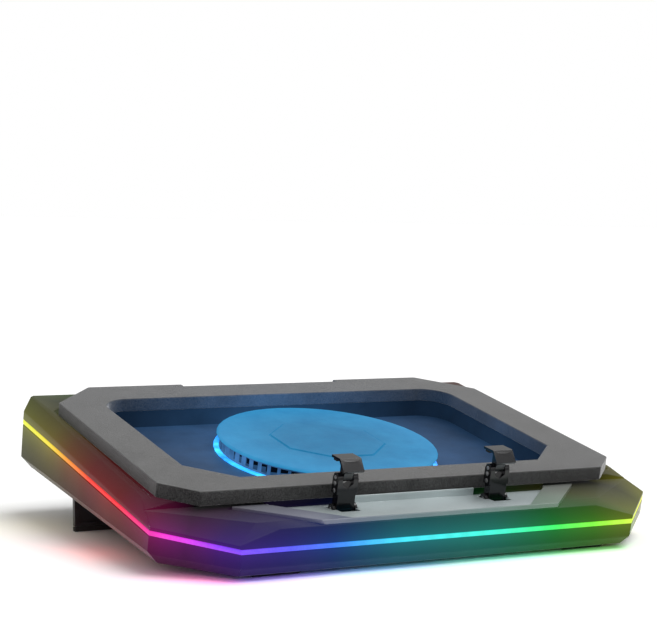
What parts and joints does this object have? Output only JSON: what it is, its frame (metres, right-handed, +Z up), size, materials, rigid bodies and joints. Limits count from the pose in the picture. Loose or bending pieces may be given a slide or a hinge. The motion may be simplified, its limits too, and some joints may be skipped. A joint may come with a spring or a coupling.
{
  "type": "laptop cooling pad",
  "caption": "Wedge-shaped laptop cooling pad with a foam gasket round a covered fan, a light strip round its edge, fold-up front stops and fold-out rear legs.",
  "frame": {"origin": "on the surface it stands on, under the middle of its box", "axes": "+Z up, +Y from the user towards the back, +X to the user's right"},
  "size_m": [0.43, 0.3184, 0.1012],
  "materials": {
    "case": "fine-grained black moulded plastic",
    "light_strip": "translucent, lit from behind in the colours of the rainbow",
    "well_light": "translucent, lit blue from behind",
    "circuit_board": "solder mask",
    "foam": "fine closed-cell foam",
    "silver_panel": "silver, satin, with a fine hatch",
    "fan_plastic": "smooth black plastic",
    "cover_plastic": "smooth dark plastic lit blue from below",
    "steel": "plated",
    "copper": "lacquered copper windings",
    "stop_plastic": "semi-gloss black",
    "leg_plastic": "satin black",
    "rubber": "matt black rubber"
  },
  "bodies": {
    "case": {"lower_shell": "case", "upper_shell": "case", "control_bezel": "case", "light_diffuser": "light_strip", "fan_light_ring": "well_light", "led_board": "circuit_board", "control_board": "circuit_board", "port_board": "circuit_board", "foam_seal": "foam", "control_panel": "silver_panel", "fan_deck": "fan_plastic", "fan_grille": "fan_plastic", "motor_mount": "fan_plastic", "intake_grille": "fan_plastic", "dust_filter": "fan_plastic", "fan_cover": "cover_plastic", "hub_cap": "cover_plastic", "motor_bearing": "steel", "usb_port_1": "steel", "usb_port_2": "steel", "case_screw_1": "steel", "case_screw_2": "steel", "case_screw_3": "steel", "case_screw_4": "steel", "case_screw_5": "steel", "case_screw_6": "steel", "stop_pin_left": "steel", "leg_pin_left": "steel", "stop_pin_right": "steel", "leg_pin_right": "steel", "motor_stator": "copper", "stop_bracket_left": "stop_plastic", "stop_bracket_right": "stop_plastic", "power_socket": "stop_plastic", "front_foot_left": "rubber", "rear_foot_left": "rubber", "front_foot_right": "rubber", "rear_foot_right": "rubber"},
    "fan": {"impeller": "fan_plastic", "motor_shaft": "steel"},
    "arm_left": {"stop_arm_left": "stop_plastic", "arm_rivet_left_1": "steel", "arm_rivet_left_2": "steel", "lip_pin_left": "steel"},
    "hook_left": {"stop_lip_left": "stop_plastic", "lip_pad_left": "rubber"},
    "foldout_left": {"leg_left": "leg_plastic", "leg_tip_left": "rubber"},
    "arm_right": {"stop_arm_right": "stop_plastic", "arm_rivet_right_1": "steel", "arm_rivet_right_2": "steel", "lip_pin_right": "steel"},
    "hook_right": {"stop_lip_right": "stop_plastic", "lip_pad_right": "rubber"},
    "foldout_right": {"leg_right": "leg_plastic", "leg_tip_right": "rubber"}
  },
  "joints": [
    {"name": "fan_spin", "type": "hinge", "parent": "case", "child": "fan", "pos_m": [0, 0.02616, 0.05417], "axis": [0, -0.1749, 0.9846], "continuous": true},
    {"name": "stop_fold_left", "type": "hinge", "parent": "case", "child": "arm_left", "pos_m": [-0.066, -0.11844, 0.03915], "axis": [1, 0, 0], "range_deg": [0, 60]},
    {"name": "hook_lean_left", "type": "hinge", "parent": "arm_left", "child": "hook_left", "pos_m": [-0.066, -0.12213, 0.06277], "axis": [1, 0, 0], "range_deg": [-35, 0]},
    {"name": "leg_fold_left", "type": "hinge", "parent": "case", "child": "foldout_left", "pos_m": [-0.168, 0.06115, 0.02872], "axis": [1, 0, 0], "range_deg": [0, 100]},
    {"name": "stop_fold_right", "type": "hinge", "parent": "case", "child": "arm_right", "pos_m": [0.066, -0.11844, 0.03915], "axis": [1, 0, 0], "range_deg": [0, 60]},
    {"name": "hook_lean_right", "type": "hinge", "parent": "arm_right", "child": "hook_right", "pos_m": [0.066, -0.12213, 0.06277], "axis": [1, 0, 0], "range_deg": [-35, 0]},
    {"name": "leg_fold_right", "type": "hinge", "parent": "case", "child": "foldout_right", "pos_m": [0.168, 0.06115, 0.02872], "axis": [1, 0, 0], "range_deg": [0, 100]}
  ]
}
